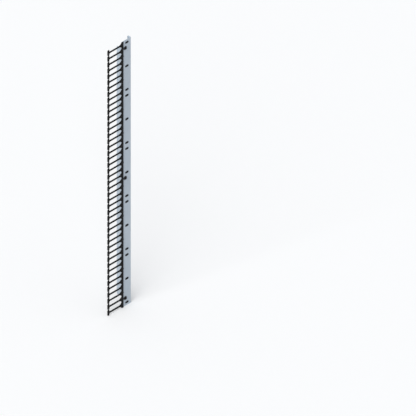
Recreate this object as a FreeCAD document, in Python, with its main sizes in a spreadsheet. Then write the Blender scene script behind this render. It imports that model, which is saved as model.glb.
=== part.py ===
import FreeCAD, Part
import math
import os
import re
from dataclasses import dataclass

import Sketcher
from FreeCAD import Vector

# Vertical cable manager for a 19 inch rack, 45 rack units tall, in millimetres.
# A folded sheet-steel carrier holds five moulded finger combs on one margin of its
# front face, and three captive thumb screws fasten the carrier to a rack post.
# +Z is up, -Y is the front, where the cables turn out between the fingers, and the
# fingers reach towards -X. The origin is on the axis of the middle screw, in the
# plane of the carrier's rear face, which seats on the post.

# Driving sizes. Each is one cell of the sheet, under the name given here.
SIZES = {
    # rack grid and counts
    "unit_pitch": 44.45,
    "comb_count": 5,
    "fingers_per_comb": 9,
    # folded carrier
    "gauge": 1.5,
    "bend_inner": 1.0,
    "panel_wide": 84.0,
    "right_flange_deep": 22.6,
    "lip_wide": 9.5,
    "left_flange_deep": 40.5,
    "top_cutback_units": 1,
    "bottom_cutback_units": 2,
    "bend_relief": 2.0,
    "edge_strip": 4.0,
    # strap slots in the carrier
    "slot_inset": 36.0,
    "slot_long": 22.0,
    "slot_high": 9.0,
    "slot_corner": 3.5,
    "slot_step_units": 4,
    # moulded finger combs
    "comb_margin": 0.7,
    "comb_thick": 5.0,
    "comb_gap": 0.8,
    "strip_wide": 13.8,
    "finger_high": 10.5,
    "finger_reach": 123.3,
    "flare_radius": 28.0,
    "root_gap": 1.7,
    "head_wide": 15.0,
    "head_gap": 4.0,
    "head_inner_round": 6.0,
    "head_outer_round": 7.0,
    "head_end_round": 2.0,
    # rivets, their lugs on the comb and the relief notch under each lug
    "rivet_step_units": 4,
    "rivet_inset": 11.3,
    "rivet_hole_wide": 4.2,
    "rivet_shank_wide": 4.0,
    "rivet_head_wide": 9.0,
    "rivet_head_high": 1.8,
    "rivet_tail_wide": 6.5,
    "rivet_tail_long": 3.0,
    "lug_wide": 12.0,
    "notch_deep": 3.5,
    "notch_high": 5.0,
    "notch_drop": 8.5,
    # captive thumb screws
    "washer_clearance": 4.5,
    "stud_drop": 36.6,
    "stud_wide": 6.0,
    "stud_long": 16.0,
    "stud_tip_chamfer": 0.8,
    "neck_wide": 4.8,
    "tapped_hole_wide": 5.0,
    "axial_play": 0.3,
    "hex_across": 10.0,
    "hex_high": 4.0,
    "knob_wide": 16.0,
    "knob_high": 6.0,
    "knob_round": 1.2,
    "flute_count": 12,
    "flute_wide": 2.8,
    "flute_sink": 0.8,
    "washer_wide": 28.0,
    "washer_thick": 2.0,
    "washer_hole_wide": 6.6,
    "washer_round": 1.2,
}

# Formulas that more than one piece shares.
UNITS = "comb_count * fingers_per_comb"
PANEL_TALL = f"{UNITS} * unit_pitch"
LAST_UNIT = f"({UNITS} - 1) / 2 * unit_pitch"
MODULE_TALL = "fingers_per_comb * unit_pitch"
FIRST_MODULE = "-(comb_count - 1) / 2 * fingers_per_comb * unit_pitch"
# The screws stand beside the comb strip, a washer's half width and a clearance away.
PANEL_LEFT = "-(comb_margin + strip_wide + washer_clearance + washer_wide / 2)"
PANEL_RIGHT = f"(panel_wide + {PANEL_LEFT})"
STRIP_LEFT = f"{PANEL_LEFT} + comb_margin"
SLOT_ACROSS = f"{PANEL_RIGHT} - slot_inset"
SLOT_STEP = "slot_step_units * unit_pitch"
RIVET_ACROSS = f"{STRIP_LEFT} + rivet_inset"
RIVET_FIRST = "-rivet_step_units / 2 * unit_pitch"
RIVET_STEP = "rivet_step_units * unit_pitch"
KNOB_SEAT = "gauge + washer_thick + axial_play"
# The carrier's mid-height lies above the middle screw by the screw's drop under its slot.
PANEL_MIDDLE = "stud_drop"
STUD_HEIGHTS = {
    "top": f"{LAST_UNIT} - stud_drop",
    "middle": "-stud_drop",
    "bottom": f"stud_drop - {LAST_UNIT}",
}

document = FreeCAD.newDocument("vertical_cable_manager")
sheet = document.addObject("Spreadsheet::Sheet", "sizes")
for row, (alias, size) in enumerate(SIZES.items(), start=1):
    sheet.set(f"A{row}", alias)
    sheet.set(f"B{row}", str(size))
    sheet.setAlias(f"B{row}", alias)
document.recompute()


def cells(formula):
    """The formula with each size's name turned into its cell of the sheet."""
    return re.sub(r"[a-z]\w*", lambda word: f"sizes.{word[0]}" if word[0] in SIZES else word[0], formula)


def number(formula):
    """The value of a formula of the sheet's sizes."""
    return float(sheet.evalExpression(cells(formula)))


@dataclass
class Corner:
    """A corner of an outline: its place, its rounding, and the arc that leads to the next."""

    across: str
    up: str
    rounding: str = ""
    arc_radius: str = ""
    arc_side: int = 0

    def place(self):
        """The corner's place in the sketch as numbers."""
        return Vector(number(self.across), number(self.up), 0)


def new_body(label):
    """An empty body whose label is the name of its piece."""
    body = document.addObject("PartDesign::Body", label)
    body.Label = label
    return body


def put(body, across="0", back="0", up="0"):
    """Bind the body's place to formulas of the sheet."""
    for axis, formula in (("x", across), ("y", back), ("z", up)):
        body.setExpression(f"Placement.Base.{axis}", cells(formula))


def datum(body, role):
    """The body's own origin plane or axis with that role."""
    return next(item for item in body.Origin.OriginFeatures if item.Role == role)


def new_sketch(body, name, role, lift=""):
    """A sketch on one of the body's origin planes, lifted along the plane's normal."""
    sketch = body.newObject("Sketcher::SketchObject", f"{body.Name}_{name}")
    sketch.AttachmentSupport = [(datum(body, role), "")]
    sketch.MapMode = "FlatFace"
    if lift:
        sketch.setExpression("AttachmentOffset.Base.z", cells(lift))
    return sketch


def constrain(sketch, formula, kind, *geometry):
    """Add a dimension and bind it to its formula."""
    index = sketch.addConstraint(Sketcher.Constraint(kind, *geometry, number(formula)))
    sketch.setExpression(f"Constraints[{index}]", cells(formula))


def fix_point(sketch, geometry, end, across, up):
    """Fix a point of the geometry at formulas measured from the sketch's origin."""
    constrain(sketch, across, "DistanceX", -1, 1, geometry, end)
    constrain(sketch, up, "DistanceY", -1, 1, geometry, end)


def add_arc(sketch, centre, start, end):
    """Add the shorter arc from start to end and name its first and last point."""
    turn = (start - centre).cross(end - centre).z
    first, last = (start, end) if turn > 0 else (end, start)
    angles = [math.atan2(point.y - centre.y, point.x - centre.x) for point in (first, last)]
    if angles[1] < angles[0]:
        angles[1] += 2 * math.pi
    circle = Part.Circle(centre, Vector(0, 0, 1), (start - centre).Length)
    index = sketch.addGeometry(Part.ArcOfCircle(circle, *angles))
    return (index, 1, 2) if turn > 0 else (index, 2, 1)


def draw_outline(sketch, corners):
    """Draw a closed outline with its roundings, every size of it bound to the sheet."""
    places = [corner.place() for corner in corners]
    count = len(corners)
    arrivals, departures = list(places), list(places)
    rounded = {}
    for index, corner in enumerate(corners):
        if not corner.rounding:
            continue
        to_last = (places[index - 1] - places[index]).normalize()
        to_next = (places[(index + 1) % count] - places[index]).normalize()
        half_angle = to_last.getAngle(to_next) / 2
        radius = number(corner.rounding)
        arrivals[index] = places[index] + to_last * (radius / math.tan(half_angle))
        departures[index] = places[index] + to_next * (radius / math.tan(half_angle))
        middle = (to_last + to_next).normalize()
        centre = places[index] + middle * (radius / math.sin(half_angle))
        rounded[index] = add_arc(sketch, centre, arrivals[index], departures[index])

    sides = []
    for index, corner in enumerate(corners):
        start, end = departures[index], arrivals[(index + 1) % count]
        if corner.arc_radius:
            radius = number(corner.arc_radius)
            chord = end - start
            rise = math.sqrt(radius ** 2 - (chord.Length / 2) ** 2)
            normal = Vector(-chord.y, chord.x, 0).normalize() * corner.arc_side
            side = add_arc(sketch, (start + end) * 0.5 + normal * rise, start, end)
            constrain(sketch, corner.arc_radius, "Radius", side[0])
        else:
            side = (sketch.addGeometry(Part.LineSegment(start, end)), 1, 2)
        sides.append(side)

    for index, corner in enumerate(corners):
        before, after = sides[index - 1], sides[index]
        if index in rounded:
            arc, first, last = rounded[index]
            sketch.addConstraint(Sketcher.Constraint("Tangent", before[0], before[2], arc, first))
            sketch.addConstraint(Sketcher.Constraint("Tangent", arc, last, after[0], after[1]))
            constrain(sketch, corner.rounding, "Radius", arc)
            point = sketch.addGeometry(Part.Point(places[index]), True)
            sketch.addConstraint(Sketcher.Constraint("PointOnObject", point, 1, before[0]))
            sketch.addConstraint(Sketcher.Constraint("PointOnObject", point, 1, after[0]))
            fix_point(sketch, point, 1, corner.across, corner.up)
        else:
            sketch.addConstraint(Sketcher.Constraint("Coincident", before[0], before[2], after[0], after[1]))
            fix_point(sketch, after[0], after[1], corner.across, corner.up)


def draw_circle(sketch, across, up, wide):
    """Draw a circle of that diameter about a point bound to the sheet."""
    centre = Vector(number(across), number(up), 0)
    index = sketch.addGeometry(Part.Circle(centre, Vector(0, 0, 1), number(wide) / 2))
    constrain(sketch, wide, "Diameter", index)
    fix_point(sketch, index, 3, across, up)


def draw_box(sketch, left, right, low, high, rounding=""):
    """Draw an upright rectangle between four formulas, with rounded corners if asked."""
    corners = [(left, low), (right, low), (right, high), (left, high)]
    draw_outline(sketch, [Corner(across, up, rounding) for across, up in corners])


def pad(body, sketch, length, both_ways=False):
    """Pad the sketch along its normal, or evenly to both sides of its plane."""
    feature = body.newObject("PartDesign::Pad", f"{sketch.Name}_pad")
    feature.Profile = sketch
    feature.SideType = "Symmetric" if both_ways else "One side"
    feature.setExpression("Length", cells(length))
    document.recompute()
    return feature


def cut(body, sketch, depth=""):
    """Pocket the sketch to a depth along its normal, or through the whole body."""
    before = body.Shape.Volume
    feature = body.newObject("PartDesign::Pocket", f"{sketch.Name}_pocket")
    feature.Profile = sketch
    if depth:
        feature.Reversed = True
        feature.setExpression("Length", cells(depth))
    else:
        feature.Type = "ThroughAll"
        feature.SideType = "Symmetric"
    document.recompute()
    if feature.Shape.Volume > before - 0.01:
        raise ValueError(f"{feature.Name} cuts nothing")
    return feature


def revolve(body, sketch):
    """Turn the sketch once about the body's Y axis."""
    feature = body.newObject("PartDesign::Revolution", f"{sketch.Name}_turned")
    feature.Profile = sketch
    feature.ReferenceAxis = (datum(body, "Y_Axis"), [""])
    feature.Angle = 360
    document.recompute()
    return feature


def repeat_up(body, feature, step, count):
    """Repeat the feature up the body's Z axis, at a step and a number from the sheet."""
    pattern = body.newObject("PartDesign::LinearPattern", f"{feature.Name}_row")
    pattern.Originals = [feature]
    pattern.Direction = (datum(body, "Z_Axis"), [""])
    pattern.Mode = "Spacing"
    pattern.setExpression("Offset", cells(step))
    pattern.setExpression("Occurrences", cells(count))
    body.Tip = pattern
    document.recompute()
    return pattern


def make_carrier():
    """Folded channel: front panel, short right flange with a lip, deep left flange, slots."""
    body = new_body("carrier_channel")
    bend_outer = "bend_inner + gauge"
    seam = f"{PANEL_LEFT} + edge_strip"
    flange_back = "right_flange_deep - gauge"

    # Front panel and right flange are one folded section over the full height.
    section = new_sketch(body, "panel", "XY_Plane")
    draw_outline(section, [
        Corner(seam, "-gauge"),
        Corner(PANEL_RIGHT, "-gauge", bend_outer),
        Corner(PANEL_RIGHT, flange_back, bend_outer),
        Corner(f"{PANEL_RIGHT} - lip_wide", flange_back),
        Corner(f"{PANEL_RIGHT} - lip_wide", f"{flange_back} - gauge"),
        Corner(f"{PANEL_RIGHT} - gauge", f"{flange_back} - gauge", "bend_inner"),
        Corner(f"{PANEL_RIGHT} - gauge", "0", "bend_inner"),
        Corner(seam, "0"),
    ])
    pad(body, section, PANEL_TALL, both_ways=True)

    # The deep left flange stops short of both ends, by more at the bottom.
    flange_lift = "(bottom_cutback_units - top_cutback_units) / 2 * unit_pitch"
    flange = new_sketch(body, "flange", "XY_Plane", flange_lift)
    draw_outline(flange, [
        Corner(seam, "-gauge"),
        Corner(seam, "0"),
        Corner(f"{PANEL_LEFT} + gauge", "0", "bend_inner"),
        Corner(f"{PANEL_LEFT} + gauge", "left_flange_deep - gauge"),
        Corner(PANEL_LEFT, "left_flange_deep - gauge"),
        Corner(PANEL_LEFT, "-gauge", bend_outer),
    ])
    flange_units = f"({UNITS} - top_cutback_units - bottom_cutback_units)"
    pad(body, flange, f"{flange_units} * unit_pitch", both_ways=True)

    # Past the flange's ends the panel runs flat to its edge, behind a bend relief.
    tabs = new_sketch(body, "tabs", "XZ_Plane")
    half_tall = f"{PANEL_TALL} / 2"
    top_root = f"{half_tall} - top_cutback_units * unit_pitch + bend_relief"
    bottom_root = f"{half_tall} - bottom_cutback_units * unit_pitch + bend_relief"
    draw_box(tabs, PANEL_LEFT, seam, top_root, half_tall)
    draw_box(tabs, PANEL_LEFT, seam, f"-({half_tall})", f"-({bottom_root})")
    pad(body, tabs, "gauge")

    slots = new_sketch(body, "slots", "XZ_Plane")
    for place in (-1, 0, 1):
        height = f"{FIRST_MODULE} + {place} * {SLOT_STEP}"
        draw_box(slots, f"{SLOT_ACROSS} - slot_long / 2", f"{SLOT_ACROSS} + slot_long / 2",
                 f"{height} - slot_high / 2", f"{height} + slot_high / 2", "slot_corner")
    repeat_up(body, cut(body, slots), MODULE_TALL, "comb_count")

    # Two rivet holes for each comb.
    rivet_holes = new_sketch(body, "rivet_holes", "XZ_Plane")
    for up in (f"{FIRST_MODULE} + {RIVET_FIRST}", f"{FIRST_MODULE} + {RIVET_FIRST} + {RIVET_STEP}"):
        draw_circle(rivet_holes, RIVET_ACROSS, up, "rivet_hole_wide")
    repeat_up(body, cut(body, rivet_holes), MODULE_TALL, "comb_count")

    # Tapped holes that hold the thumb screws by their necks.
    stud_holes = new_sketch(body, "stud_holes", "XZ_Plane")
    for height in STUD_HEIGHTS.values():
        draw_circle(stud_holes, "0", height, "tapped_hole_wide")
    cut(body, stud_holes)
    put(body, up=PANEL_MIDDLE)
    return body


def make_comb(index):
    """One moulded comb: a base strip with a T-headed finger for each rack unit."""
    body = new_body(f"finger_comb_{index + 1}")
    comb_half = f"({MODULE_TALL} - comb_gap) / 2"
    strip = new_sketch(body, "strip", "XZ_Plane")
    draw_box(strip, "0", "strip_wide", f"-{comb_half}", comb_half)
    pad(body, strip, "comb_thick")

    # A round lug carries each rivet, with a small relief notch in the strip below it.
    lugs = new_sketch(body, "lugs", "XZ_Plane")
    draw_circle(lugs, "rivet_inset", RIVET_FIRST, "lug_wide")
    repeat_up(body, pad(body, lugs, "comb_thick"), RIVET_STEP, "2")
    notches = new_sketch(body, "notches", "XZ_Plane")
    notch_middle = f"{RIVET_FIRST} - notch_drop"
    draw_box(notches, "strip_wide - notch_deep", "strip_wide + notch_deep",
             f"{notch_middle} - notch_high / 2", f"{notch_middle} + notch_high / 2")
    repeat_up(body, cut(body, notches), RIVET_STEP, "2")
    holes = new_sketch(body, "holes", "XZ_Plane")
    draw_circle(holes, "rivet_inset", RIVET_FIRST, "rivet_hole_wide")
    repeat_up(body, cut(body, holes), RIVET_STEP, "2")

    # The finger widens into the strip along two hollow arcs and ends in a rounded T.
    finger = new_sketch(body, "finger", "XZ_Plane")
    centre = "-(fingers_per_comb - 1) / 2 * unit_pitch"
    root_half = "(unit_pitch - root_gap) / 2"
    rise = f"({root_half} - finger_high / 2)"
    flare_run = f"sqrt(2 * flare_radius * {rise} - {rise} * {rise})"
    head_half = "(unit_pitch - head_gap) / 2"
    head_inner = "-(finger_reach - head_wide)"
    upper = [
        ("0", root_half, "", "flare_radius", -1),
        (f"-{flare_run}", "finger_high / 2", "", "", 0),
        (head_inner, "finger_high / 2", "head_inner_round", "", 0),
        (head_inner, head_half, "head_end_round", "", 0),
        ("-finger_reach", head_half, "head_outer_round", "", 0),
    ]
    corners = [Corner(across, f"{centre} + {up}", *rest) for across, up, *rest in upper]
    for across, up, rounding, _, _ in reversed(upper):
        corners.append(Corner(across, f"{centre} - {up}", rounding))
    flare_end, strip_end = corners[-2], corners[-1]
    flare_end.arc_radius, flare_end.arc_side = "flare_radius", -1
    corners = corners[:-1] + [strip_end, Corner("strip_wide / 2", strip_end.up),
                              Corner("strip_wide / 2", corners[0].up)]
    draw_outline(finger, corners)
    repeat_up(body, pad(body, finger, "comb_thick"), "unit_pitch", "fingers_per_comb")
    put(body, STRIP_LEFT, "-gauge", f"{PANEL_MIDDLE} + {FIRST_MODULE} + {index} * {MODULE_TALL}")
    return body


def make_rivets(index):
    """The two rivets of one comb, each with a low domed head and an upset tail."""
    body = new_body(f"comb_rivets_{index + 1}")
    section = new_sketch(body, "section", "XY_Plane")
    head_seat = "-(gauge + comb_thick)"
    draw_outline(section, [
        Corner("0", "rivet_tail_long"),
        Corner("0", f"{head_seat} - rivet_head_high"),
        Corner("rivet_head_wide / 4", f"{head_seat} - rivet_head_high", "rivet_head_high"),
        Corner("rivet_head_wide / 2", f"{head_seat} - rivet_head_high / 3"),
        Corner("rivet_head_wide / 2", head_seat),
        Corner("rivet_shank_wide / 2", head_seat),
        Corner("rivet_shank_wide / 2", "0"),
        Corner("rivet_tail_wide / 2", "0", "rivet_tail_long / 4"),
        Corner("rivet_tail_wide / 2", "rivet_tail_long", "rivet_tail_long / 3"),
    ])
    repeat_up(body, revolve(body, section), RIVET_STEP, "2")
    put(body, RIVET_ACROSS, "0",
        f"{PANEL_MIDDLE} + {FIRST_MODULE} + {index} * {MODULE_TALL} + {RIVET_FIRST}")
    return body


def draw_hexagon(sketch):
    """Draw the screw head's hexagon about the sketch's origin."""
    reach = "hex_across / sqrt(3)"
    draw_outline(sketch, [
        Corner(reach, "0"),
        Corner(f"{reach} / 2", "hex_across / 2"),
        Corner(f"-{reach} / 2", "hex_across / 2"),
        Corner(f"-{reach}", "0"),
        Corner(f"-{reach} / 2", "-hex_across / 2"),
        Corner(f"{reach} / 2", "-hex_across / 2"),
    ])


def make_stud(place, height):
    """Captive screw: hexagon head, reduced neck through the carrier, full-width stud."""
    body = new_body(f"stud_{place}")
    section = new_sketch(body, "section", "XY_Plane")
    draw_outline(section, [
        Corner("0", f"-({KNOB_SEAT})"),
        Corner("neck_wide / 2", f"-({KNOB_SEAT})"),
        Corner("neck_wide / 2", "0"),
        Corner("stud_wide / 2", "0"),
        Corner("stud_wide / 2", "stud_long - stud_tip_chamfer"),
        Corner("stud_wide / 2 - stud_tip_chamfer", "stud_long"),
        Corner("0", "stud_long"),
    ])
    revolve(body, section)
    head = new_sketch(body, "head", "XZ_Plane", KNOB_SEAT)
    draw_hexagon(head)
    pad(body, head, "hex_high")
    put(body, up=f"{PANEL_MIDDLE} + {height}")
    return body


def make_knob(place, height):
    """Moulded knob, fluted round its rim and pressed over the screw's hexagon head."""
    body = new_body(f"knob_{place}")
    section = new_sketch(body, "section", "XY_Plane")
    draw_outline(section, [
        Corner("0", "0"),
        Corner("0", "-knob_high"),
        Corner("knob_wide / 2", "-knob_high", "knob_round"),
        Corner("knob_wide / 2", "0"),
    ])
    revolve(body, section)
    flute = new_sketch(body, "flute", "XZ_Plane")
    draw_circle(flute, "knob_wide / 2 + flute_wide / 2 - flute_sink", "0", "flute_wide")
    first = cut(body, flute)
    ring = body.newObject("PartDesign::PolarPattern", f"{body.Name}_flutes")
    ring.Originals = [first]
    ring.Axis = (datum(body, "Y_Axis"), [""])
    ring.Angle = 360
    ring.setExpression("Occurrences", cells("flute_count"))
    body.Tip = ring
    document.recompute()
    socket = new_sketch(body, "socket", "XZ_Plane")
    draw_hexagon(socket)
    cut(body, socket, "hex_high")
    put(body, "0", f"-({KNOB_SEAT})", f"{PANEL_MIDDLE} + {height}")
    return body


def make_washer(place, height):
    """Wide plastic washer between the knob and the carrier."""
    body = new_body(f"knob_washer_{place}")
    section = new_sketch(body, "section", "XY_Plane")
    draw_outline(section, [
        Corner("washer_hole_wide / 2", "0"),
        Corner("washer_hole_wide / 2", "-washer_thick"),
        Corner("washer_wide / 2", "-washer_thick", "washer_round"),
        Corner("washer_wide / 2", "0"),
    ])
    revolve(body, section)
    put(body, "0", "-gauge", f"{PANEL_MIDDLE} + {height}")
    return body


def check(pieces):
    """Stop on a failed feature, an invalid shape or a wrong number of solids."""
    for item in document.Objects:
        if {"Invalid", "Error"} & set(item.State):
            raise ValueError(f"{item.Name} failed: {item.State}")
    for piece, solids in pieces:
        shape = piece.Shape
        if shape.isNull() or not shape.isValid() or len(shape.Solids) != solids:
            raise ValueError(f"{piece.Label} is not {solids} valid solid(s)")


pieces = [(make_carrier(), 1)]
for number_of_comb in range(int(SIZES["comb_count"])):
    pieces.append((make_comb(number_of_comb), 1))
    pieces.append((make_rivets(number_of_comb), 2))
for place_name, stud_height in STUD_HEIGHTS.items():
    pieces.append((make_stud(place_name, stud_height), 1))
    pieces.append((make_knob(place_name, stud_height), 1))
    pieces.append((make_washer(place_name, stud_height), 1))
document.recompute()
check(pieces)

os.makedirs("parts", exist_ok=True)
for piece, _ in pieces:
    piece.Shape.exportStep(f"parts/{piece.Label}.step")
    box = piece.Shape.BoundBox
    print(f"{piece.Label}: {piece.Shape.Volume:.0f} mm3, "
          f"x {box.XMin:.2f} to {box.XMax:.2f}, y {box.YMin:.2f} to {box.YMax:.2f}, "
          f"z {box.ZMin:.2f} to {box.ZMax:.2f}")
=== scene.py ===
"""Vertical cable manager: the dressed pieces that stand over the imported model.

Lengths are in millimetres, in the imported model's own frame: the origin is on the middle
screw's axis in the plane of the carrier's rear face, +Z is up, -Y is the front, and the
fingers reach towards -X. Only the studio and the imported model's box are in metres.
"""

from __future__ import annotations

import logging
import math
from collections.abc import Iterable, Mapping, Sequence
from dataclasses import dataclass
from enum import Enum
from typing import Any

import bmesh
import bpy
from bmesh.types import BMEdge, BMFace, BMVert
from mathutils import Matrix, Vector


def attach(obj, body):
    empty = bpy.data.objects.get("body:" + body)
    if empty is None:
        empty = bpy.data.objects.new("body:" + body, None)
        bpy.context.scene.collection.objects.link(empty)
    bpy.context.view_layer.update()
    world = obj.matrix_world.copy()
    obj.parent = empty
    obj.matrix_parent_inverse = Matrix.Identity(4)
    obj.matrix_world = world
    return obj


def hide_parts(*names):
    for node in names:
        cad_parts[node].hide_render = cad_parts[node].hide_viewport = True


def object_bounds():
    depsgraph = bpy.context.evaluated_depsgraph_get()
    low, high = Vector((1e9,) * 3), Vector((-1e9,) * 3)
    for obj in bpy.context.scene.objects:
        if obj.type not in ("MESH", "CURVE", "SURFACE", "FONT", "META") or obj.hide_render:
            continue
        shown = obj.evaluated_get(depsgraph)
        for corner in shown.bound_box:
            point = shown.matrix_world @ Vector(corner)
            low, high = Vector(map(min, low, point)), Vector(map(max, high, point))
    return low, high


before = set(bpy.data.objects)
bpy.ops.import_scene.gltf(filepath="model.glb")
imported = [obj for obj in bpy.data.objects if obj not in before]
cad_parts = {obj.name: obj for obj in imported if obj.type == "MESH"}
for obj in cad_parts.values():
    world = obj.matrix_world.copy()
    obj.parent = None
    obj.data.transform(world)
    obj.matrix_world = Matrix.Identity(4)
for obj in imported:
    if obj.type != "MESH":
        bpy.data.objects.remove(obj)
CAD_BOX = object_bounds()

LOG = logging.getLogger("cable_manager")
Element = BMVert | BMEdge | BMFace

METRES = 0.001
# Vertices closer than this count as one, and a vertex this close to a line lies on it.
NEAR = 0.001
# A vertex this close to the plane of a cut lies on it.
ON_CUT = 0.0001
# Angles between two faces, in degrees: more than these make a cut edge, a crease in the shading
# and a rim of the hexagon, whose six corners are at 60. Less than the last makes one flat.
CUT_EDGE = 60.0
CREASE = 50.0
HEXAGON_RIM = 80.0
ONE_FLAT = 0.5

RACK_UNIT = 44.45
PANEL_MIDDLE = 36.6
# The panel's middle rack unit and the middle comb, and how many units a comb takes.
MIDDLE_UNIT = 22
MIDDLE_COMB = 3
COMB_UNITS = 9
COMB_NUMBERS = (1, 2, 3, 4, 5)
# Each comb's two rivets lie this many units below and above its middle.
RIVET_UNITS = 2
RIVET_ACROSS = -21.0
RIVET_HOLE = 4.2
SLOT_ACROSS = 15.0
SLOT_LONG = 22.0
SLOT_HIGH = 9.0
SLOT_CORNER = 3.5
SCREW_HEIGHTS = {"top": 977.9, "middle": 0.0, "bottom": -904.7}

# A Mix node's sockets by number, since those for colours and for values share their names.
MIX_FACTOR = 0
COLOUR_A, COLOUR_B, MIXED_COLOUR = 6, 7, 2
VALUE_A, VALUE_B, MIXED_VALUE = 2, 3, 0
# Nearly all of a noise texture lies between these.
NOISE_LOW, NOISE_HIGH = 0.3, 0.7
# Wear starts and is full where a rounded corner's normal and the surface's own have these cosines.
WEAR_STARTS, WEAR_FULL = 0.985, 0.88
# A wave texture's phase in each unit of its own space, in radians.
WAVE_PHASE = 20.0


class Body(Enum):
    """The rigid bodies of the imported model."""

    ROOT = "root"
    TOP_SCREW = "top_screw"
    MIDDLE_SCREW = "middle_screw"
    BOTTOM_SCREW = "bottom_screw"


class Plane(Enum):
    """How a flat outline's two numbers lie in space."""

    PANEL = "across is X and along is Z, at a level on Y"
    TURNED = "across is the radius and along is Y"


@dataclass(frozen=True)
class Corner:
    """A corner of an outline: its place across and along, and its rounding."""

    across: float
    along: float
    rounding: float = 0.0


def comb_height(number: int) -> float:
    """The height of a comb's middle, for the combs from 1, the lowest, to 5."""
    return PANEL_MIDDLE + (number - MIDDLE_COMB) * COMB_UNITS * RACK_UNIT


def draw_in(vert: BMVert, limit: float) -> None:
    """Bring a vertex in to a distance from the Y axis, if it lies further out."""
    radius = math.hypot(vert.co.x, vert.co.z)
    if radius > limit:
        vert.co.x *= limit / radius
        vert.co.z *= limit / radius


def linear(hex_colour: str) -> tuple[float, float, float, float]:
    """Turn an sRGB hex colour into the linear colour that a shader takes.

    Args:
        hex_colour: The colour as "#RRGGBB".

    Returns:
        Red, green and blue in linear light, and an alpha of 1.
    """
    parts = [int(hex_colour[start:start + 2], 16) / 255 for start in (1, 3, 5)]
    light = [part / 12.92 if part <= 0.04045 else ((part + 0.055) / 1.055) ** 2.4 for part in parts]
    return (light[0], light[1], light[2], 1.0)


def add_node(tree: bpy.types.NodeTree, kind: str, inputs: Mapping[str | int, Any] | None = None,
             **settings: Any) -> bpy.types.Node:
    """Add one shader node with its settings and its links.

    Args:
        tree: The node tree that gets the node.
        kind: The node's type without its leading "ShaderNode".
        inputs: A value or another node's output for each named or numbered input.
        settings: The node's own attributes.

    Returns:
        The new node.
    """
    node = tree.nodes.new(f"ShaderNode{kind}")
    for name, value in settings.items():
        setattr(node, name, value)
    for key, value in (inputs or {}).items():
        if isinstance(value, bpy.types.NodeSocket):
            tree.links.new(value, node.inputs[key])
        else:
            node.inputs[key].default_value = value
    return node


def mix_colours(tree: bpy.types.NodeTree, factor: bpy.types.NodeSocket,
                first: str | bpy.types.NodeSocket, second: str) -> bpy.types.NodeSocket:
    """Mix two colours.

    Args:
        tree: The node tree that gets the node.
        factor: How much of the second colour, from 0 to 1.
        first: The colour at 0, as "#RRGGBB" or as another node's output.
        second: The colour at 1, as "#RRGGBB".

    Returns:
        The mixed colour.
    """
    first_input = linear(first) if isinstance(first, str) else first
    mixed = add_node(tree, "Mix", {MIX_FACTOR: factor, COLOUR_A: first_input,
                                   COLOUR_B: linear(second)}, data_type="RGBA")
    return mixed.outputs[MIXED_COLOUR]


def per_metre(size: float) -> float:
    """The texture scale that repeats once in a size in millimetres."""
    return 1.0 / (size * METRES)


@dataclass(frozen=True)
class Finish:
    """What the object's finishes share: two tones, a sheen that varies, a grain and worn edges."""

    name: str
    tone: str
    second_tone: str
    edge_tone: str
    roughness: tuple[float, float]
    cloud_size: float
    grain_size: float
    grain_height: float
    edge_width: float
    ior: float = 1.5
    specular: float = 0.5
    metallic: float = 0.0
    coat: float = 0.0
    rub_finer: float = 6.0

    def height(self, tree: bpy.types.NodeTree, place: bpy.types.NodeSocket) -> bpy.types.NodeSocket:
        """The surface's height for its bump, from 0 to 1: an even grain unless a finish differs."""
        grain = add_node(tree, "TexNoise", {"Vector": place, "Scale": per_metre(self.grain_size),
                                            "Detail": 3.0, "Roughness": 0.55})
        return grain.outputs["Fac"]

    def material(self) -> bpy.types.Material:
        """Build the material, or give the one that was built before.

        Returns:
            The material of this finish.
        """
        found = bpy.data.materials.get(self.name)
        if found:
            return found
        made = bpy.data.materials.new(self.name)
        made.use_nodes = True
        tree = made.node_tree
        shader = tree.nodes["Principled BSDF"]
        place = add_node(tree, "TexCoord").outputs["Object"]

        cloud = add_node(tree, "TexNoise", {"Vector": place, "Scale": per_metre(self.cloud_size),
                                            "Detail": 4.0, "Roughness": 0.6})
        spread = add_node(tree, "MapRange", {"Value": cloud.outputs["Fac"], "From Min": NOISE_LOW,
                                             "From Max": NOISE_HIGH})
        tones = mix_colours(tree, spread.outputs["Result"], self.tone, self.second_tone)

        # Edges are found where the normal of a rounded corner leaves the surface's own.
        rounded = add_node(tree, "Bevel", {"Radius": self.edge_width * METRES}, samples=4)
        own = add_node(tree, "NewGeometry")
        along = add_node(tree, "VectorMath", {0: rounded.outputs["Normal"],
                                              1: own.outputs["Normal"]}, operation="DOT_PRODUCT")
        rub = add_node(tree, "TexNoise", {"Vector": place, "Detail": 2.0,
                                          "Scale": per_metre(self.cloud_size / self.rub_finer)})
        edge = add_node(tree, "MapRange", {"Value": along.outputs["Value"],
                                           "From Min": WEAR_STARTS, "From Max": WEAR_FULL})
        worn = add_node(tree, "Math", {0: edge.outputs["Result"], 1: rub.outputs["Fac"]},
                        operation="MULTIPLY")
        colour = mix_colours(tree, worn.outputs["Value"], tones, self.edge_tone)
        sheen = add_node(tree, "MapRange", {"Value": cloud.outputs["Fac"], "From Min": NOISE_LOW,
                                            "From Max": NOISE_HIGH, "To Min": self.roughness[0],
                                            "To Max": self.roughness[1]})
        bump = add_node(tree, "Bump", {"Height": self.height(tree, place), "Strength": 1.0,
                                       "Distance": self.grain_height * METRES})

        shader.inputs["Metallic"].default_value = self.metallic
        shader.inputs["IOR"].default_value = self.ior
        shader.inputs["Specular IOR Level"].default_value = self.specular
        shader.inputs["Coat Weight"].default_value = self.coat
        tree.links.new(colour, shader.inputs["Base Color"])
        tree.links.new(sheen.outputs["Result"], shader.inputs["Roughness"])
        tree.links.new(bump.outputs["Normal"], shader.inputs["Normal"])
        return made


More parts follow.
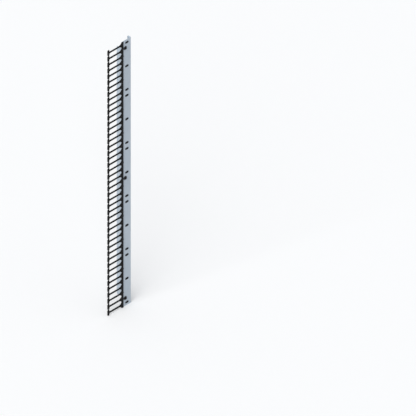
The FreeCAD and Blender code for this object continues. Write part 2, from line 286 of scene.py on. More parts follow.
@dataclass(frozen=True)
class PowderCoat(Finish):
    """Polyester powder baked on steel: the melted powder's soft ripple under a fine texture."""

    ripple_size: float = 3.0
    fine_share: float = 0.35

    def height(self, tree: bpy.types.NodeTree, place: bpy.types.NodeSocket) -> bpy.types.NodeSocket:
        """The ripple of the coat with the fine texture on it."""
        ripple = add_node(tree, "TexNoise", {"Vector": place, "Scale": per_metre(self.ripple_size),
                                             "Detail": 1.0})
        fine = add_node(tree, "TexNoise", {"Vector": place, "Scale": per_metre(self.grain_size),
                                           "Detail": 2.0})
        both = add_node(tree, "Mix", {MIX_FACTOR: self.fine_share, VALUE_A: ripple.outputs["Fac"],
                                      VALUE_B: fine.outputs["Fac"]}, data_type="FLOAT")
        return both.outputs[MIXED_VALUE]


@dataclass(frozen=True)
class ErodedMoulding(Finish):
    """Polyamide from a spark-eroded mould: small round craters packed side by side."""

    def height(self, tree: bpy.types.NodeTree, place: bpy.types.NodeSocket) -> bpy.types.NodeSocket:
        """The craters that the mould's surface leaves."""
        pits = add_node(tree, "TexVoronoi", {"Vector": place, "Scale": per_metre(self.grain_size)},
                        feature="SMOOTH_F1")
        return pits.outputs["Distance"]


@dataclass(frozen=True)
class TurnedPlate(Finish):
    """Zinc plate on a turned screw: fine tool rings round the axis, which runs along Y."""

    def height(self, tree: bpy.types.NodeTree, place: bpy.types.NodeSocket) -> bpy.types.NodeSocket:
        """The rings that the cutting tool leaves, one after another along the axis."""
        rings = add_node(tree, "TexWave", {"Vector": place, "Distortion": 1.5, "Detail": 1.0,
                                           "Scale": per_metre(self.grain_size) / WAVE_PHASE},
                         wave_type="BANDS", bands_direction="Y")
        return rings.outputs["Fac"]


# Light blue-grey polyester powder coat: a satin, slightly rippled skin that hides the sheet's
# rolling marks and is a little thinner and paler along the cut edges.
CARRIER_COAT = PowderCoat(
    "powder_coated_steel", "#B9C5D0", "#AFBBC6", "#CDD7E0", roughness=(0.42, 0.52),
    cloud_size=160.0, grain_size=0.8, grain_height=0.03, edge_width=0.8)
# Black glass-free polyamide: deep black with a dull grain that throws little light back, rubbed
# grey where cables drag over the edges.
COMB_PLASTIC = ErodedMoulding(
    "moulded_black_polyamide", "#09090A", "#060607", "#1E1E21", roughness=(0.5, 0.62),
    cloud_size=30.0, grain_size=0.7, grain_height=0.03, edge_width=0.7, ior=1.53, specular=0.1)
# The knobs' polyamide comes from a smoother mould, so it has more gloss than the combs. Its black
# also lines the strap slots, as painted shade for the darkness inside them.
KNOB_AND_SLOT_SHADE_BLACK = ErodedMoulding(
    "satin_black_knob_and_slot_shade", "#080809", "#050506", "#1C1C1F", roughness=(0.34, 0.44),
    cloud_size=9.0, grain_size=0.5, grain_height=0.012, edge_width=0.5, ior=1.53, specular=0.12)
# The washer's polyamide is a dark grey, lighter than the knob that rests on it.
WASHER_PLASTIC = ErodedMoulding(
    "moulded_grey_polyamide", "#3D3E43", "#36373C", "#56575D", roughness=(0.45, 0.55),
    cloud_size=9.0, grain_size=0.6, grain_height=0.015, edge_width=0.5, ior=1.53, specular=0.3)
# Bright zinc plate over turned steel: a bluish silver with faint straw clouds.
SCREW_PLATE = TurnedPlate(
    "zinc_plated_steel", "#C6CACD", "#C2BFB2", "#DDE0E2", roughness=(0.24, 0.38),
    cloud_size=5.0, grain_size=0.25, grain_height=0.008, edge_width=0.3, metallic=1.0)
# Baked black enamel on an aluminium rivet: smooth and rather glossy, with bare metal just
# showing at the rim of the head.
RIVET_ENAMEL = Finish(
    "black_enamelled_aluminium", "#131315", "#0F0F11", "#4A4B4F", roughness=(0.28, 0.38),
    cloud_size=6.0, grain_size=1.2, grain_height=0.01, edge_width=0.25, specular=0.3, coat=0.1)


class Blank:
    """A piece in the making: a bmesh in millimetres that operators shape."""

    def __init__(self) -> None:
        """Start with nothing."""
        self.bm = bmesh.new()

    def everything(self) -> list[Element]:
        """All elements of the mesh."""
        return [*self.bm.verts, *self.bm.edges, *self.bm.faces]

    def open_edges(self) -> list[BMEdge]:
        """The edges with a face on one side only."""
        return [edge for edge in self.bm.edges if len(edge.link_faces) == 1]

    def chain(self, corners: Sequence[Corner], plane: Plane, level: float = 0.0,
              closed: bool = False, steps: int = 5) -> list[BMVert]:
        """Join corners by edges and round those that ask for it.

        Args:
            corners: The corners in order.
            plane: How the corners lie in space.
            level: Where the chain lies on Y, for a chain in the panel's plane.
            closed: Whether the last corner joins the first.
            steps: Edges in each rounding.

        Returns:
            The vertices of the first and of the last corner.
        """
        if plane is Plane.PANEL:
            points = [(corner.across, level, corner.along) for corner in corners]
        else:
            points = [(corner.across, corner.along, 0.0) for corner in corners]
        verts = [self.bm.verts.new(point) for point in points]
        for first, second in zip(verts, verts[1:] + verts[:1] if closed else verts[1:]):
            self.bm.edges.new((first, second))
        ends = [verts[0], verts[-1]]
        for corner, vert in zip(corners, verts):
            if corner.rounding:
                self.round_corner(vert, corner.rounding, steps)
        return ends

    def round_corner(self, vert: BMVert, radius: float, steps: int) -> None:
        """Round one corner of a chain, between the ends of the arc that its radius gives."""
        first, second = (edge.other_vert(vert).co - vert.co for edge in vert.link_edges)
        run = radius / math.tan(first.angle(second) / 2)
        bmesh.ops.bevel(self.bm, geom=[vert], offset=run, offset_type="OFFSET", segments=steps,
                        profile=0.5, affect="VERTICES", clamp_overlap=False, material=-1)

    def join_ends(self, first: BMVert, second: BMVert) -> None:
        """Join two ends of chains by an edge."""
        self.bm.edges.new((first, second))

    def arc(self, start: BMVert, centre: tuple[float, float], angle: float, steps: int) -> BMVert:
        """Draw an arc in the panel's plane from a vertex round a centre.

        Args:
            start: The vertex that the arc starts from.
            centre: The centre's X and Z.
            angle: The arc's turn in radians.
            steps: Edges in the arc.

        Returns:
            The vertex at the arc's far end.
        """
        made = bmesh.ops.spin(self.bm, geom=[start], cent=(centre[0], 0.0, centre[1]),
                              axis=(0.0, 1.0, 0.0), dvec=(0.0, 0.0, 0.0), angle=angle,
                              steps=steps, use_merge=False, use_duplicate=False)
        return next(item for item in made["geom_last"] if isinstance(item, BMVert))

    def circle(self, across: float, along: float, radius: float, level: float,
               segments: int = 40) -> None:
        """Draw a circle in the panel's plane, as edges only."""
        turned = Matrix.Translation((across, level, along)) @ Matrix.Rotation(math.pi / 2, 4, "X")
        bmesh.ops.create_circle(self.bm, cap_ends=False, segments=segments, radius=radius,
                                matrix=turned @ Matrix.Rotation(math.pi / 2, 4, "Z"))

    def rounded_box(self, centre: tuple[float, float], half: tuple[float, float], rounding: float,
                    level: float) -> None:
        """Draw a rounded rectangle in the panel's plane, as edges only."""
        corners = [Corner(centre[0] + side * half[0], centre[1] + rise * half[1], rounding)
                   for side, rise in ((-1, -1), (1, -1), (1, 1), (-1, 1))]
        self.chain(corners, Plane.PANEL, level, closed=True, steps=6)

    def take(self, part: Blank) -> None:
        """Take another blank's mesh into this one."""
        mesh = bpy.data.meshes.new("part")
        part.bm.to_mesh(mesh)
        part.bm.free()
        self.bm.from_mesh(mesh)
        bpy.data.meshes.remove(mesh)

    def merge(self) -> None:
        """Join the vertices that lie in one place."""
        bmesh.ops.remove_doubles(self.bm, verts=self.bm.verts[:], dist=NEAR)

    def move(self, step: Sequence[float], items: Iterable[Element] | None = None) -> None:
        """Move some elements of the mesh, or all of it where none are given."""
        moved = self.bm.verts if items is None else items
        bmesh.ops.translate(self.bm, vec=step,
                            verts=[item for item in moved if isinstance(item, BMVert)])

    def lift(self, height: float) -> None:
        """Move the whole blank up."""
        self.move((0.0, 0.0, height))

    def copy_up(self, items: list[Element], height: float) -> None:
        """Copy some elements of the mesh and move the copy up."""
        self.move((0.0, 0.0, height), bmesh.ops.duplicate(self.bm, geom=items)["geom"])

    def raise_faces(self, step: Sequence[float]) -> None:
        """Draw the flat faces out into a closed body."""
        self.move(step, bmesh.ops.extrude_face_region(self.bm, geom=self.bm.faces[:])["geom"])
        self.face_outwards()

    def fill(self) -> None:
        """Fill the flat loops of edges, with the inner loops left open."""
        bmesh.ops.triangle_fill(self.bm, use_beauty=True, use_dissolve=False,
                                edges=self.bm.edges[:], normal=(0.0, -1.0, 0.0))
        bmesh.ops.dissolve_limit(self.bm, angle_limit=math.radians(ONE_FLAT),
                                 use_dissolve_boundaries=False, verts=self.bm.verts[:],
                                 edges=self.bm.edges[:], delimit=set())

    def pull(self, edges: Iterable[BMEdge], step: Sequence[float]) -> list[BMEdge]:
        """Draw a wall out of a row of edges.

        Args:
            edges: The row of edges.
            step: How far and which way the wall goes.

        Returns:
            The far row of edges.
        """
        made = bmesh.ops.extrude_edge_only(self.bm, edges=list(edges))["geom"]
        self.move(step, made)
        far = {item for item in made if isinstance(item, BMVert)}
        return [item for item in made if isinstance(item, BMEdge) and far.issuperset(item.verts)]

    def fold(self, edges: Iterable[BMEdge], centre: tuple[float, float], degrees: float,
             steps: int) -> list[BMEdge]:
        """Bend a wall out of a row of upright edges.

        Args:
            edges: The row of edges.
            centre: X and Y of the bend's axis, which stands upright.
            degrees: The turn of the bend.
            steps: The flats in the bend.

        Returns:
            The far row of edges.
        """
        row = list(edges)
        ends = list(dict.fromkeys(vert for edge in row for vert in edge.verts))
        made = bmesh.ops.spin(self.bm, geom=[*row, *ends], cent=(*centre, 0.0),
                              axis=(0.0, 0.0, 1.0), dvec=(0.0, 0.0, 0.0),
                              angle=math.radians(degrees), steps=steps, use_merge=False,
                              use_duplicate=False)
        return [item for item in made["geom_last"] if isinstance(item, BMEdge)]

    def thicken(self, gauge: float) -> None:
        """Give an open skin its gauge, with the second skin behind the first."""
        self.merge()
        self.bm.normal_update()
        inward = [(vert, vert.normal * (-gauge * vert.calc_shell_factor()))
                  for vert in self.bm.verts]
        bmesh.ops.extrude_face_region(self.bm, geom=self.bm.faces[:], use_keep_orig=True)
        for vert, step in inward:
            vert.co += step
        self.face_outwards()

    def turn(self, steps: int) -> None:
        """Turn the chains once about the Y axis and close the skin at its poles."""
        bmesh.ops.spin(self.bm, geom=self.everything(), cent=(0.0, 0.0, 0.0), axis=(0.0, 1.0, 0.0),
                       dvec=(0.0, 0.0, 0.0), angle=2 * math.pi, steps=steps, use_merge=True,
                       use_duplicate=False)
        self.merge()
        self.face_outwards()

    def face_outwards(self) -> None:
        """Point every face away from the inside."""
        bmesh.ops.recalc_face_normals(self.bm, faces=self.bm.faces[:])

    def soften(self, edges: Iterable[BMEdge], width: float, steps: int) -> None:
        """Round off a set of edges.

        Args:
            edges: The edges.
            width: The size of the rounding.
            steps: The flats in the rounding.
        """
        bmesh.ops.bevel(self.bm, geom=list(edges), offset=width, offset_type="OFFSET",
                        segments=steps, profile=0.5, affect="EDGES", clamp_overlap=False,
                        material=-1)

    def sharp_edges(self, degrees: float = CUT_EDGE) -> list[BMEdge]:
        """The edges where two faces meet at more than an angle."""
        return [edge for edge in self.bm.edges
                if len(edge.link_faces) == 2 and edge.calc_face_angle() > math.radians(degrees)]

    def deliver(self, name: str, body: Body, finish: Finish,
                stands_for: str | None = None) -> bpy.types.Object:
        """Turn the blank into a finished piece that rides on a body.

        Args:
            name: The piece's name.
            body: The body that carries it.
            finish: Its finish.
            stands_for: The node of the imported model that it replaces, if it replaces one.

        Returns:
            The new object.
        """
        bmesh.ops.scale(self.bm, vec=(METRES, METRES, METRES), verts=self.bm.verts[:])
        for face in self.bm.faces:
            face.smooth = True
        for edge in self.sharp_edges(CREASE):
            edge.smooth = False
        mesh = bpy.data.meshes.new(name)
        self.bm.to_mesh(mesh)
        self.bm.free()
        piece = bpy.data.objects.new(name, mesh)
        bpy.context.scene.collection.objects.link(piece)
        piece.data.materials.append(finish.material())
        even = piece.modifiers.new("even_shading", "WEIGHTED_NORMAL")
        even.keep_sharp = True
        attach(piece, body.value)
        if stands_for:
            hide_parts(stands_for)
        LOG.info("%s: %d faces, on %s, for %s", name, len(mesh.polygons), body.value,
                 stands_for or "no node")
        return piece


@dataclass(frozen=True)
class Carrier:
    """The folded steel channel with its strap slots and the holes of rivets and screws."""

    left: float = -33.0
    right: float = 51.0
    gauge: float = 1.5
    bend: float = 2.5
    bend_flats: int = 8
    tall: float = 45 * RACK_UNIT
    right_depth: float = 22.6
    lip: float = 9.5
    left_depth: float = 40.5
    low_cutback: float = 2 * RACK_UNIT
    high_cutback: float = RACK_UNIT
    relief: float = 2.0
    edge_strip: float = 4.0
    slot_units: tuple[int, ...] = (0, 4, 8, 9, 13, 17, 18, 22, 26, 27, 31, 35, 36, 40, 44)
    screw_hole: float = 5.0
    cut_edge: float = 0.3

    def draw_sheet(self, blank: Blank) -> None:
        """Draw the flat of the panel with all its openings, in the plane of its front."""
        front = -self.gauge
        low, high = PANEL_MIDDLE - self.tall / 2, PANEL_MIDDLE + self.tall / 2
        flange_low, flange_high = low + self.low_cutback, high - self.high_cutback
        seam = self.left + self.edge_strip
        fold = self.left + self.bend
        rim = [(self.right - self.bend, low), (self.right - self.bend, high), (self.left, high),
               (self.left, flange_high + self.relief), (seam, flange_high + self.relief),
               (seam, flange_high), (fold, flange_high), (fold, flange_low), (seam, flange_low),
               (seam, flange_low - self.relief), (self.left, flange_low - self.relief),
               (self.left, low)]
        blank.chain([Corner(*place) for place in rim], Plane.PANEL, front, closed=True)
        for unit in self.slot_units:
            middle = PANEL_MIDDLE + (MIDDLE_UNIT - unit) * RACK_UNIT
            blank.rounded_box((SLOT_ACROSS, middle), (SLOT_LONG / 2, SLOT_HIGH / 2), SLOT_CORNER,
                              front)
        for number in COMB_NUMBERS:
            for rise in (-RIVET_UNITS, RIVET_UNITS):
                height = comb_height(number) + rise * RACK_UNIT
                blank.circle(RIVET_ACROSS, height, RIVET_HOLE / 2, front)
        for height in SCREW_HEIGHTS.values():
            blank.circle(0.0, height, self.screw_hole / 2, front)

    def make(self) -> bpy.types.Object:
        """Cut the sheet, fold its flanges, give it its gauge and break its cut edges."""
        blank = Blank()
        self.draw_sheet(blank)
        blank.fill()
        inner = self.bend - self.gauge
        fold_right, fold_left = self.right - self.bend, self.left + self.bend

        def row_at(across: float) -> list[BMEdge]:
            """The open edges that stand upright at a place across the panel."""
            return [edge for edge in blank.open_edges()
                    if all(abs(vert.co.x - across) < NEAR for vert in edge.verts)]

        right_edge = blank.fold(row_at(fold_right), (fold_right, inner), 90.0, self.bend_flats)
        back = self.right_depth - self.gauge
        right_edge = blank.pull(right_edge, (0.0, back - self.bend - inner, 0.0))
        right_edge = blank.fold(right_edge, (fold_right, back - self.bend), 90.0, self.bend_flats)
        blank.pull(right_edge, (self.bend - self.lip, 0.0, 0.0))
        left_edge = blank.fold(row_at(fold_left), (fold_left, inner), -90.0, self.bend_flats)
        blank.pull(left_edge, (0.0, self.left_depth - self.gauge - inner, 0.0))
        blank.thicken(self.gauge)
        blank.soften(blank.sharp_edges(), self.cut_edge, steps=2)
        return blank.deliver("folded_carrier", Body.ROOT, CARRIER_COAT,
                             "carrier_channel")


@dataclass(frozen=True)
class SlotShadeSleeves:
    """Painted shade: black sleeves in the three strap slots beside one comb, deep enough to look
    closed.
    """

    apart_units: int = 4
    # How far the skin stands outside the slot's outline, and its level on Y, once round the wall:
    # the sleeve's rear edge, the snap ridge behind the panel, the rim, and the rim's rounded front.
    profile: tuple[tuple[float, float], ...] = (
        (-1.3, 3.7), (-1.1, 3.9), (-0.4, 3.9), (-0.2, 3.7), (-0.1, 1.2), (0.4, 0.3), (0.4, 0.0),
        (-0.1, 0.0), (-0.1, -1.5), (2.8, -1.5), (2.8, -2.3), (2.57, -2.87), (2.0, -3.1),
        (-0.8, -3.1), (-1.15, -2.95), (-1.3, -2.6))

    def mould(self, blank: Blank) -> None:
        """Skin one sleeve about the origin: draw its first loop once round the wall's profile."""
        grow, level = self.profile[0]
        blank.rounded_box((0.0, 0.0), (SLOT_LONG / 2 + grow, SLOT_HIGH / 2 + grow),
                          SLOT_CORNER + grow, level)
        loop = blank.bm.edges[:]
        for grow, new_level in self.profile[1:] + self.profile[:1]:
            loop = blank.pull(loop, (0.0, new_level - level, 0.0))
            level = new_level
            for vert in {vert for edge in loop for vert in edge.verts}:
                centre = Vector((math.copysign(SLOT_LONG / 2 - SLOT_CORNER, vert.co.x), level,
                                 math.copysign(SLOT_HIGH / 2 - SLOT_CORNER, vert.co.z)))
                vert.co = centre + (vert.co - centre).normalized() * (SLOT_CORNER + grow)
        blank.merge()
        blank.face_outwards()

    def make(self, number: int) -> bpy.types.Object:
        """Mould the three black sleeves beside one comb.

        Args:
            number: The comb's place from 1, the lowest, to 5.

        Returns:
            The finished piece.
        """
        blank = Blank()
        self.mould(blank)
        apart = self.apart_units * RACK_UNIT
        blank.move((SLOT_ACROSS, 0.0, -apart))
        lowest = blank.everything()
        for step in (apart, 2 * apart):
            blank.copy_up(lowest, step)
        blank.lift(comb_height(number))
        # The black sleeves are painted shade: they give the open strap slots the darkness of a
        # hole.
        return blank.deliver(f"slot_shade_sleeves_{number}", Body.ROOT, KNOB_AND_SLOT_SHADE_BLACK)


@dataclass(frozen=True)
class FingerComb:
    """One moulded comb: a strip with nine T-headed fingers, two lugs and two relief notches."""

    strip_left: float = -32.3
    strip_wide: float = 13.8
    rear: float = -1.5
    thick: float = 5.0
    gap: float = 0.8
    finger_high: float = 10.5
    reach: float = 123.3
    flare: float = 28.0
    root_gap: float = 1.7
    head_wide: float = 15.0
    head_gap: float = 4.0
    # The head's roundings: where it leaves the finger, and its inner and outer end corners.
    roundings: tuple[float, float, float] = (6.0, 2.0, 7.0)
    rivet_inset: float = 11.3
    lug_radius: float = 6.0
    # A notch's depth and height, and how far its middle lies below the rivet.
    notch: tuple[float, float, float] = (3.5, 5.0, 8.5)
    notch_round: float = 0.8
    front_round: float = 0.8
    rear_round: float = 0.3

    def draw_finger(self, blank: Blank) -> None:
        """Draw the lowest finger's outline about the origin, from root corner to root corner."""
        half = self.finger_high / 2
        root = (RACK_UNIT - self.root_gap) / 2
        rise = root - half
        run = math.sqrt(2 * self.flare * rise - rise * rise)
        head = self.head_wide - self.reach
        head_half = (RACK_UNIT - self.head_gap) / 2
        inner, end, outer = self.roundings
        upper = [Corner(-self.reach, 0.0), Corner(-self.reach, head_half, outer),
                 Corner(head, head_half, end), Corner(head, half, inner), Corner(-run, half)]
        last = blank.chain(upper, Plane.PANEL, steps=6)[1]
        sweep = math.asin(run / self.flare)
        root_corner = blank.arc(last, (-run, half + self.flare), -sweep, steps=12)
        cell_corner = blank.chain([Corner(0.0, RACK_UNIT / 2)], Plane.PANEL)[0]
        blank.join_ends(root_corner, cell_corner)
        bmesh.ops.mirror(blank.bm, geom=blank.everything(), matrix=Matrix.Identity(4),
                         merge_dist=NEAR, axis="Z", mirror_u=False, mirror_v=False)
        blank.merge()

    def draw_outline(self, blank: Blank) -> None:
        """Draw the whole comb's outline, centred on its height, with its two rivet holes."""
        self.draw_finger(blank)
        blank.lift(-(COMB_UNITS - 1) / 2 * RACK_UNIT)
        lowest = blank.everything()
        for step in range(1, COMB_UNITS):
            blank.copy_up(lowest, step * RACK_UNIT)
        blank.merge()
        full = COMB_UNITS * RACK_UNIT / 2
        half = full - self.gap / 2
        ends = {}
        for vert in blank.bm.verts:
            if abs(vert.co.x) < NEAR and abs(abs(vert.co.z) - full) < NEAR:
                vert.co.z = math.copysign(half, vert.co.z)
                ends[vert.co.z > 0] = vert

        # The strip's outer edge runs up past a notch and a round lug at each rivet.
        deep, high, drop = self.notch
        leave = math.acos((self.strip_wide - self.rivet_inset) / self.lug_radius)
        below = self.lug_radius * math.sin(leave)
        corners = [Corner(self.strip_wide, -half)]
        start = ends[False]
        for rivet in (-RIVET_UNITS * RACK_UNIT, RIVET_UNITS * RACK_UNIT):
            edge, floor = self.strip_wide, self.strip_wide - deep
            low, top = rivet - drop - high / 2, rivet - drop + high / 2
            corners += [Corner(edge, low), Corner(floor, low, self.notch_round),
                        Corner(floor, top, self.notch_round), Corner(edge, top),
                        Corner(edge, rivet - below)]
            first_end, last_end = blank.chain(corners, Plane.PANEL, steps=3)
            blank.join_ends(start, first_end)
            start = blank.arc(last_end, (self.rivet_inset, rivet), -2 * leave, steps=16)
            corners = []
            blank.circle(self.rivet_inset, rivet, RIVET_HOLE / 2, 0.0)
        top_corner = blank.chain([Corner(self.strip_wide, half)], Plane.PANEL)[0]
        blank.join_ends(start, top_corner)
        blank.join_ends(top_corner, ends[True])

    def make(self, number: int) -> bpy.types.Object:
        """Mould one comb.

        Args:
            number: The comb's place from 1, the lowest, to 5.

        Returns:
            The finished piece.
        """
        blank = Blank()
        self.draw_outline(blank)
        blank.fill()
        blank.raise_faces((0.0, -self.thick, 0.0))
        for level, width, steps in ((-self.thick, self.front_round, 3), (0.0, self.rear_round, 1)):
            rim = [edge for edge in blank.sharp_edges()
                   if all(abs(vert.co.y - level) < NEAR for vert in edge.verts)]
            blank.soften(rim, width, steps)
        blank.move((self.strip_left, self.rear, comb_height(number)))
        return blank.deliver(f"moulded_comb_{number}", Body.ROOT, COMB_PLASTIC,
                             f"finger_comb_{number}")


@dataclass(frozen=True)
class RivetPair:
    """The two blind rivets of one comb, each with a low domed head and an upset tail."""

    seat: float = -6.5
    head_radius: float = 4.5
    head_high: float = 1.8
    head_edge_round: float = 0.2
    stem_radius: float = 1.1
    stem_deep: float = 0.5
    stem_taper: float = 0.2
    shank_radius: float = 2.0
    tail_radius: float = 3.25
    tail_long: float = 3.0
    tail_rounds: tuple[float, float] = (0.75, 1.0)
    around: int = 40

    def make(self, number: int) -> bpy.types.Object:
        """Turn the two rivets of one comb, the lower one first.

        Args:
            number: The comb's place from 1, the lowest, to 5.

        Returns:
            The finished piece.
        """
        blank = Blank()
        top = self.seat - self.head_high
        recess = top + self.stem_deep
        front_round, rear_round = self.tail_rounds
        profile = [Corner(0.0, recess), Corner(self.stem_radius - self.stem_taper, recess),
                   Corner(self.stem_radius, top), Corner(self.head_radius / 2, top, self.head_high),
                   Corner(self.head_radius, self.seat - self.head_high / 3, self.head_edge_round),
                   Corner(self.head_radius, self.seat), Corner(self.shank_radius, self.seat),
                   Corner(self.shank_radius, 0.0), Corner(self.tail_radius, 0.0, front_round),
                   Corner(self.tail_radius, self.tail_long, rear_round),
                   Corner(0.0, self.tail_long)]
        blank.chain(profile, Plane.TURNED)
        blank.turn(self.around)
        blank.move((RIVET_ACROSS, 0.0, -RIVET_UNITS * RACK_UNIT))
        blank.copy_up(blank.everything(), 2 * RIVET_UNITS * RACK_UNIT)
        blank.lift(comb_height(number))
        return blank.deliver(f"rivets_{number}", Body.ROOT, RIVET_ENAMEL,
                             f"comb_rivets_{number}")


@dataclass(frozen=True)
class ThumbScrew:
    """A captive screw in its fluted knob, and the washer between the knob and the panel."""

    place: str
    body: Body
    seat: float = -3.8
    play: float = 0.3
    hex_across: float = 10.0
    hex_high: float = 4.0
    hex_round: float = 0.3
    neck_radius: float = 2.4
    neck_inset: float = 0.02
    neck_overlap: float = 0.5
    stud_radius: float = 3.0
    stud_long: float = 16.0
    screw_around: int = 48
    thread_pitch: float = 1.0
    # The depth of a tooth, and the levels of its outline from root to root, in pitches.
    tooth_deep: float = 0.6134
    tooth_levels: tuple[float, ...] = (-1.0, -0.646, -0.521, -0.167, 0.0)
    thread_around: int = 32
    tip_chamfer: float = 0.8
    knob_radius: float = 8.0
    knob_high: float = 6.0
    knob_round: float = 1.2
    flutes: int = 12
    flute_radius: float = 1.4
    flute_sink: float = 0.8
    around_flute: int = 16
    dish_radius: float = 5.2
    dish_deep: float = 0.5
    dish_taper: float = 0.6
    dish_rounds: tuple[float, float] = (0.5, 0.2)
    rear_chamfer: tuple[float, float] = (0.3, 0.4)
    washer_radius: float = 14.0
    washer_hole: float = 3.3
    washer_thick: float = 2.0
    washer_round: float = 1.2
    washer_edge_round: float = 0.3
    washer_hole_round: float = 0.2
    washer_around: int = 96

    @property
    def height(self) -> float:
        """The height of the screw's axis."""
        return SCREW_HEIGHTS[self.place]

    @property
    def hex_corner(self) -> float:
        """How far the hexagon's corners lie from the axis."""
        return self.hex_across / math.sqrt(3)

    def make_screw(self) -> bpy.types.Object:
        """Cut the screw: hexagon head, plain neck and a threaded stud with a chamfered tip."""
        blank = Blank()
        blank.circle(0.0, 0.0, self.hex_corner, self.seat, segments=6)
        bmesh.ops.edgeloop_fill(blank.bm, edges=blank.bm.edges[:])
        blank.raise_faces((0.0, -self.hex_high, 0.0))
        blank.soften(blank.sharp_edges(HEXAGON_RIM), self.hex_round, steps=2)
        # The neck starts inside the head, ends inside the stud and stays just under its thread.
        radius, inside = self.neck_radius - self.neck_inset, self.seat - self.neck_overlap
        neck = [Corner(0.0, inside), Corner(radius, inside), Corner(radius, self.neck_overlap),
                Corner(0.0, self.neck_overlap)]
        blank.take(self.cut_neck(neck))
        blank.take(self.cut_thread())
        blank.lift(self.height)
        return blank.deliver(f"zinc_screw_{self.place}", self.body, SCREW_PLATE,
                             f"stud_{self.place}")

    def cut_neck(self, profile: Sequence[Corner]) -> Blank:
        """Turn the neck as a blank of its own, to be joined to the head and the stud."""
        blank = Blank()
        blank.chain(profile, Plane.TURNED)
        blank.turn(self.screw_around)
        return blank

    def cut_thread(self) -> Blank:
        """Sweep one tooth of the thread up the stud, then cut its ends square and chamfer them."""
        blank = Blank()
        pitch = self.thread_pitch
        root, crest = self.stud_radius - self.tooth_deep * pitch, self.stud_radius
        blank.chain([Corner(radius, level * pitch) for radius, level
                     in zip((root, crest, crest, root, root), self.tooth_levels)], Plane.TURNED)
        # The sweep goes past both ends of the stud, so that both cuts go through whole turns.
        turns = math.ceil(self.stud_long / pitch) + 2
        bmesh.ops.spin(blank.bm, geom=blank.everything(), cent=(0.0, 0.0, 0.0),
                       axis=(0.0, 1.0, 0.0), dvec=(0.0, pitch / self.thread_around, 0.0),
                       angle=2 * math.pi * turns, steps=turns * self.thread_around,
                       use_merge=False, use_duplicate=False)
        blank.merge()
        for level, keep_above in ((0.0, True), (self.stud_long, False)):
            bmesh.ops.bisect_plane(blank.bm, geom=blank.everything(), dist=ON_CUT,
                                   plane_co=(0.0, level, 0.0), plane_no=(0.0, 1.0, 0.0),
                                   clear_inner=keep_above, clear_outer=not keep_above)
        bmesh.ops.edgeloop_fill(blank.bm, edges=blank.open_edges())
        for vert in blank.bm.verts:
            to_tip = self.stud_long - vert.co.y
            draw_in(vert, min(self.neck_radius + vert.co.y,
                              self.stud_radius - self.tip_chamfer + to_tip))
        blank.face_outwards()
        return blank

    def make_knob(self) -> bpy.types.Object:
        """Mould the knob: a dished front, flutes round the rim and a hexagon socket behind."""
        blank = Blank()
        front = self.seat - self.knob_high
        floor_round, edge_round = self.dish_rounds
        profile = [Corner(0.0, front + self.dish_deep),
                   Corner(self.dish_radius - self.dish_taper, front + self.dish_deep, floor_round),
                   Corner(self.dish_radius, front, edge_round),
                   Corner(self.knob_radius, front, self.knob_round),
                   Corner(self.knob_radius, self.seat - self.rear_chamfer[1]),
                   Corner(self.knob_radius - self.rear_chamfer[0], self.seat)]
        blank.chain(profile, Plane.TURNED)
        blank.turn(self.flutes * self.around_flute)

        # A flute takes the rim in to a circle of its own, whose centre lies outside the knob.
        out = self.knob_radius + self.flute_radius - self.flute_sink
        pitch = 2 * math.pi / self.flutes
        for vert in blank.bm.verts:
            turn = math.atan2(vert.co.z, vert.co.x) % pitch
            off = out * math.sin(min(turn, pitch - turn))
            if off < self.flute_radius:
                wall = math.sqrt(out ** 2 - off ** 2) - math.sqrt(self.flute_radius ** 2 - off ** 2)
                draw_in(vert, wall)

        rim = blank.open_edges()
        blank.circle(0.0, 0.0, self.hex_corner, self.seat, segments=6)
        hexagon = [edge for edge in blank.bm.edges if not edge.link_faces]
        bmesh.ops.triangle_fill(blank.bm, use_beauty=True, use_dissolve=False,
                                edges=[*rim, *hexagon], normal=(0.0, 1.0, 0.0))
        floor = blank.pull(hexagon, (0.0, -self.hex_high, 0.0))
        bmesh.ops.edgeloop_fill(blank.bm, edges=floor)
        blank.face_outwards()
        blank.lift(self.height)
        return blank.deliver(f"fluted_knob_{self.place}", self.body, KNOB_AND_SLOT_SHADE_BLACK,
                             f"knob_{self.place}")

    def make_washer(self) -> bpy.types.Object:
        """Mould the washer, which stays on the panel while the screw turns."""
        blank = Blank()
        front = self.seat + self.play
        rear = front + self.washer_thick
        profile = [Corner(self.washer_hole, rear, self.washer_hole_round),
                   Corner(self.washer_hole, front, self.washer_edge_round),
                   Corner(self.washer_radius, front, self.washer_round),
                   Corner(self.washer_radius, rear, self.washer_edge_round)]
        blank.chain(profile, Plane.TURNED, closed=True)
        blank.turn(self.washer_around)
        blank.lift(self.height)
        return blank.deliver(f"washer_disc_{self.place}", Body.ROOT, WASHER_PLASTIC,
                             f"knob_washer_{self.place}")

    def make(self) -> None:
        """Make the washer, the screw and the knob."""
        self.make_washer()
        self.make_screw()
        self.make_knob()


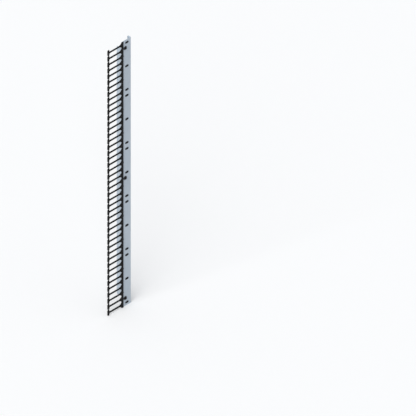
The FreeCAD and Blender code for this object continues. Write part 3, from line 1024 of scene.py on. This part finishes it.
@dataclass(frozen=True)
class Studio:
    """The pale floor, the soft light and the camera at the drawing's isometric angle, in metres."""

    azimuth: float = -45.0
    elevation: float = 35.264
    frame_tall: float = 2.558
    distance: float = 9.0
    camera_reach: float = 100.0
    # The middle of the panel's right edge, and where the picture's centre lies from it.
    anchor: tuple[float, float, float] = (0.051, -0.0015, 0.0366)
    to_right: float = 0.4737
    to_up: float = -0.2361
    floor_tone: str = "#FBFBFA"
    floor_bounce: str = "#D0D0CE"
    floor_roughness: float = 0.9
    floor_specular: float = 0.1
    floor_side: float = 60.0
    air_glow: str = "#B4B6BA"
    air_tone: str = "#FFFFFF"
    window_strength: float = 2.8
    window_width: float = 50.0
    window_side: tuple[float, float, float] = (-0.75, -0.26, 0.61)

    def place_camera(self) -> None:
        """Set the camera where the drawing looks from, with the drawing's framing."""
        turn, tilt = math.radians(self.azimuth), math.radians(self.elevation)
        back = Vector((math.sin(turn) * math.cos(tilt), -math.cos(turn) * math.cos(tilt),
                       math.sin(tilt)))
        right = Vector((math.cos(turn), math.sin(turn), 0.0))
        up = back.cross(right)
        aim = Vector(self.anchor) + right * self.to_right + up * self.to_up
        lens = bpy.data.cameras.new("camera")
        lens.type = "ORTHO"
        lens.ortho_scale = self.frame_tall
        lens.clip_end = self.camera_reach
        camera = bpy.data.objects.new("camera", lens)
        camera.location = aim + back * self.distance
        camera.rotation_euler = back.to_track_quat("Z", "Y").to_euler()
        bpy.context.scene.collection.objects.link(camera)
        bpy.context.scene.camera = camera

    def seen_directly(self, tree: bpy.types.NodeTree) -> bpy.types.NodeSocket:
        """1 for light that reaches the eye straight or by a mirror or glass, else 0."""
        path = add_node(tree, "LightPath")
        first = add_node(tree, "Math", {0: path.outputs["Is Camera Ray"],
                                        1: path.outputs["Is Glossy Ray"]}, operation="MAXIMUM")
        both = add_node(tree, "Math", {0: first.outputs["Value"],
                                       1: path.outputs["Is Transmission Ray"]}, operation="MAXIMUM")
        return both.outputs["Value"]

    def lay_floor(self) -> None:
        """Lay the floor under the carrier's lower end."""
        bm = bmesh.new()
        bmesh.ops.create_grid(bm, x_segments=1, y_segments=1, size=self.floor_side / 2,
                              matrix=Matrix.Translation((0.0, 0.0, CAD_BOX[0][2])))
        mesh = bpy.data.meshes.new("floor")
        bm.to_mesh(mesh)
        bm.free()
        floor = bpy.data.objects.new("floor", mesh)
        bpy.context.scene.collection.objects.link(floor)

        # Matt studio paper: even and almost white to the eye, and a little greyer to the
        # light that it throws back on the object.
        paper = bpy.data.materials.new("matt_studio_paper")
        paper.use_nodes = True
        tree = paper.node_tree
        shader = tree.nodes["Principled BSDF"]
        shader.inputs["Roughness"].default_value = self.floor_roughness
        shader.inputs["Specular IOR Level"].default_value = self.floor_specular
        tone = mix_colours(tree, self.seen_directly(tree), self.floor_bounce, self.floor_tone)
        tree.links.new(tone, shader.inputs["Base Color"])
        floor.data.materials.append(paper)

    def light(self) -> None:
        """Light the front and the fingers' side from a broad window, the rest from all round."""
        world = bpy.data.worlds.new("studio_air")
        bpy.context.scene.world = world
        world.use_nodes = True
        tree = world.node_tree
        tree.nodes["Background"].inputs["Strength"].default_value = 1.0
        glow = mix_colours(tree, self.seen_directly(tree), self.air_glow, self.air_tone)
        tree.links.new(glow, tree.nodes["Background"].inputs["Color"])
        lamp = bpy.data.lights.new("window_light", "SUN")
        lamp.energy = self.window_strength
        lamp.angle = math.radians(self.window_width)
        holder = bpy.data.objects.new("window_light", lamp)
        holder.rotation_euler = Vector(self.window_side).to_track_quat("Z", "Y").to_euler()
        bpy.context.scene.collection.objects.link(holder)

    def build(self) -> None:
        """Set up the camera, the floor and the light."""
        bpy.context.scene.view_settings.view_transform = "Standard"
        self.place_camera()
        self.lay_floor()
        self.light()


SCREWS = (
    ThumbScrew("top", Body.TOP_SCREW),
    ThumbScrew("middle", Body.MIDDLE_SCREW),
    ThumbScrew("bottom", Body.BOTTOM_SCREW),
)


def main() -> None:
    """Build the studio and every sub-assembly in order."""
    logging.basicConfig(level=logging.INFO, format="%(name)s: %(message)s")
    Studio().build()
    Carrier().make()
    for number in COMB_NUMBERS:
        FingerComb().make(number)
        RivetPair().make(number)
        SlotShadeSleeves().make(number)
    for screw in SCREWS:
        screw.make()


if __name__ == "__main__":
    main()
